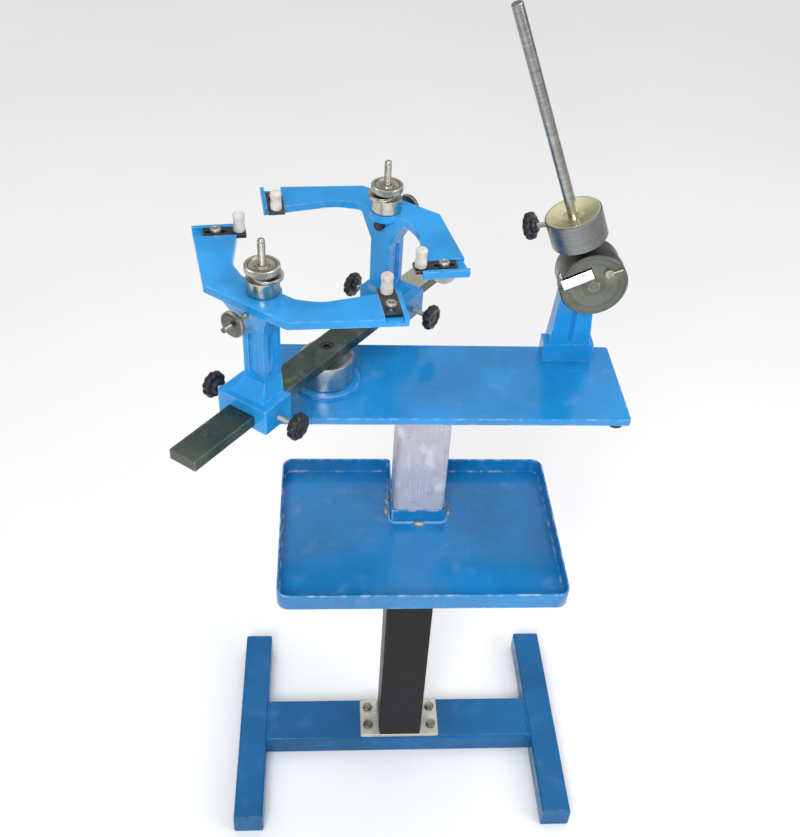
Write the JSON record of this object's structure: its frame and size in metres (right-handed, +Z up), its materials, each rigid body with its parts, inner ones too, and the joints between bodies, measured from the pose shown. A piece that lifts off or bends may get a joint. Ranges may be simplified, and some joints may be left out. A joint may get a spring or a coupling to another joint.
{
  "type": "racket stringing machine",
  "caption": "Drop-weight racket stringing machine: a turntable with two adjustable racket cradles and a weighted lever tension head, on a column stand with a tool tray.",
  "frame": {"origin": "on the floor, under the centre of the column and of the crossbar", "axes": "+Z up; +X along the table plate, from the turntable to the tension head; +Y towards the back"},
  "size_m": [0.518, 0.394, 1.1398],
  "materials": {
    "enamel_base": "gloss enamel",
    "enamel_plate": "gloss enamel",
    "enamel_casting": "gloss enamel over a casting",
    "bare_flange": "bare plate",
    "zinc_fasteners": "zinc plated",
    "column_steel": "bare drawn tube",
    "label_black": "gloss",
    "rubber_feet": "matte",
    "turned_steel": "turned and polished",
    "bar_steel": "dark oiled flat bar",
    "polished_steel": "polished",
    "black_knob": "moulded",
    "channel_steel": "blackened",
    "nylon": "satin nylon"
  },
  "bodies": {
    "stand": {"left_leg": "enamel_base", "right_leg": "enamel_base", "leg_end_plates": "enamel_base", "crossbar": "enamel_base", "base_flange": "bare_flange", "flange_bolts": "zinc_fasteners", "column": "column_steel", "label_panel": "label_black", "head_flange": "bare_flange", "head_flange_bolts": "zinc_fasteners", "tray": "enamel_plate", "tray_collar": "enamel_plate", "table_plate": "enamel_plate", "plate_feet": "rubber_feet", "pivot_flange": "turned_steel", "pivot_post": "turned_steel", "pivot_post_nuts": "zinc_fasteners", "tension_mast": "enamel_casting", "tension_mast_bolts": "zinc_fasteners", "head_bearings": "turned_steel"},
    "turntable": {"hub_bearings": "turned_steel", "turntable_hub": "turned_steel", "turntable_bar": "bar_steel", "bar_bolt": "zinc_fasteners"},
    "lever": {"head_shaft": "turned_steel", "drum": "turned_steel", "front_disc": "polished_steel", "jaw_screw": "polished_steel", "lever_rod": "polished_steel"},
    "jaw": {"gripper_jaw": "polished_steel"},
    "weight": {"weight": "turned_steel"},
    "weight_knob": {"weight_lock_knob": "black_knob"},
    "near_carriage": {"near_mast": "enamel_casting", "near_pad_locks": "zinc_fasteners"},
    "near_left_knob": {"near_left_lock_knob": "black_knob"},
    "near_left_pad": {"near_left_pad_slide": "channel_steel", "near_left_pad_peg": "nylon"},
    "near_right_knob": {"near_right_lock_knob": "black_knob"},
    "near_right_pad": {"near_right_pad_slide": "channel_steel", "near_right_pad_peg": "nylon"},
    "near_support": {"near_support_block": "turned_steel", "near_holddown_stud": "turned_steel"},
    "near_adjuster": {"near_adjuster_screw": "turned_steel", "near_adjuster_cap": "black_knob"},
    "near_clamp": {"near_holddown_washer": "turned_steel"},
    "near_nut": {"near_holddown_nut": "turned_steel"},
    "far_carriage": {"far_mast": "enamel_casting", "far_pad_locks": "zinc_fasteners"},
    "far_left_knob": {"far_left_lock_knob": "black_knob"},
    "far_left_pad": {"far_left_pad_slide": "channel_steel", "far_left_pad_peg": "nylon"},
    "far_right_knob": {"far_right_lock_knob": "black_knob"},
    "far_right_pad": {"far_right_pad_slide": "channel_steel", "far_right_pad_peg": "nylon"},
    "far_support": {"far_support_block": "turned_steel", "far_holddown_stud": "turned_steel"},
    "far_adjuster": {"far_adjuster_screw": "turned_steel", "far_adjuster_cap": "black_knob"},
    "far_clamp": {"far_holddown_washer": "turned_steel"},
    "far_nut": {"far_holddown_nut": "turned_steel"}
  },
  "joints": [
    {"name": "turntable_spin", "type": "hinge", "parent": "stand", "child": "turntable", "pos_m": [-0.1162, 0, 0.745], "axis": [0, 0, 1], "continuous": true},
    {"name": "lever_swing", "type": "hinge", "parent": "stand", "child": "lever", "pos_m": [0.1725, 0.017, 0.85], "axis": [0, 1, 0], "range_deg": [0, 118]},
    {"name": "jaw_open", "type": "hinge", "parent": "lever", "child": "jaw", "pos_m": [0.16632, -0.013, 0.86324], "axis": [0, 1, 0], "range_deg": [0, 4]},
    {"name": "weight_slide", "type": "slide", "parent": "lever", "child": "weight", "axis": [-0.3714, 0, 0.9285], "range_m": [0, 0.2]},
    {"name": "weight_knob_turn", "type": "hinge", "parent": "weight", "child": "weight_knob", "pos_m": [0.14822, 0.017, 0.91071], "axis": [-0.8415, 0.4226, -0.3366], "range_deg": [0, 360]},
    {"name": "near_carriage_slide", "type": "slide", "parent": "turntable", "child": "near_carriage", "axis": [0.6046, 0.7965, 0], "range_m": [-0.045, 0.008]},
    {"name": "near_left_knob_turn", "type": "hinge", "parent": "near_carriage", "child": "near_left_knob", "pos_m": [-0.23528, -0.06592, 0.75155], "axis": [-0.7965, 0.6046, 0], "range_deg": [0, 360]},
    {"name": "near_left_pad_travel", "type": "slide", "parent": "near_carriage", "child": "near_left_pad", "axis": [0.9907, 0.1357, 0], "range_m": [-0.008, 0.008]},
    {"name": "near_right_knob_turn", "type": "hinge", "parent": "near_carriage", "child": "near_right_knob", "pos_m": [-0.14766, -0.13242, 0.75155], "axis": [0.7965, -0.6046, 0], "range_deg": [0, 360]},
    {"name": "near_right_pad_travel", "type": "slide", "parent": "near_carriage", "child": "near_right_pad", "axis": [-0.1357, 0.9907, 0], "range_m": [-0.008, 0.008]},
    {"name": "near_support_travel", "type": "slide", "parent": "near_carriage", "child": "near_support", "axis": [0.6046, 0.7965, 0], "range_m": [-0.012, 0.0015]},
    {"name": "near_adjuster_turn", "type": "hinge", "parent": "near_carriage", "child": "near_adjuster", "pos_m": [-0.19147, -0.09917, 0.869], "axis": [0.6046, 0.7965, 0], "range_deg": [-3600, 450]},
    {"name": "near_clamp_lift", "type": "slide", "parent": "near_support", "child": "near_clamp", "axis": [0, 0, 1], "range_m": [0, 0.01]},
    {"name": "near_nut_turn", "type": "hinge", "parent": "near_clamp", "child": "near_nut", "pos_m": [-0.17938, -0.08324, 0.9], "axis": [0, 0, 1], "range_deg": [-90, 3000]},
    {"name": "far_carriage_slide", "type": "slide", "parent": "turntable", "child": "far_carriage", "axis": [-0.6046, -0.7965, 0], "range_m": [-0.045, 0.008]},
    {"name": "far_left_knob_turn", "type": "hinge", "parent": "far_carriage", "child": "far_left_knob", "pos_m": [0.0056, 0.0695, 0.75155], "axis": [0.7965, -0.6046, 0], "range_deg": [0, 360]},
    {"name": "far_left_pad_travel", "type": "slide", "parent": "far_carriage", "child": "far_left_pad", "axis": [-0.9907, -0.1357, 0], "range_m": [-0.008, 0.008]},
    {"name": "far_right_knob_turn", "type": "hinge", "parent": "far_carriage", "child": "far_right_knob", "pos_m": [-0.08202, 0.136, 0.75155], "axis": [-0.7965, 0.6046, 0], "range_deg": [0, 360]},
    {"name": "far_right_pad_travel", "type": "slide", "parent": "far_carriage", "child": "far_right_pad", "axis": [0.1357, -0.9907, 0], "range_m": [-0.008, 0.008]},
    {"name": "far_support_travel", "type": "slide", "parent": "far_carriage", "child": "far_support", "axis": [-0.6046, -0.7965, 0], "range_m": [-0.012, 0.0015]},
    {"name": "far_adjuster_turn", "type": "hinge", "parent": "far_carriage", "child": "far_adjuster", "pos_m": [-0.03821, 0.10275, 0.869], "axis": [-0.6046, -0.7965, 0], "range_deg": [-3600, 450]},
    {"name": "far_clamp_lift", "type": "slide", "parent": "far_support", "child": "far_clamp", "axis": [0, 0, 1], "range_m": [0, 0.01]},
    {"name": "far_nut_turn", "type": "hinge", "parent": "far_clamp", "child": "far_nut", "pos_m": [-0.0503, 0.08682, 0.9], "axis": [0, 0, 1], "range_deg": [-90, 3000]}
  ],
  "couplings": [
    {"joint": "near_adjuster_turn", "follows": "near_support_travel", "rad_per_m": 5026.5},
    {"joint": "near_nut_turn", "follows": "near_clamp_lift", "rad_per_m": 5026.5},
    {"joint": "far_adjuster_turn", "follows": "far_support_travel", "rad_per_m": 5026.5},
    {"joint": "far_nut_turn", "follows": "far_clamp_lift", "rad_per_m": 5026.5}
  ]
}
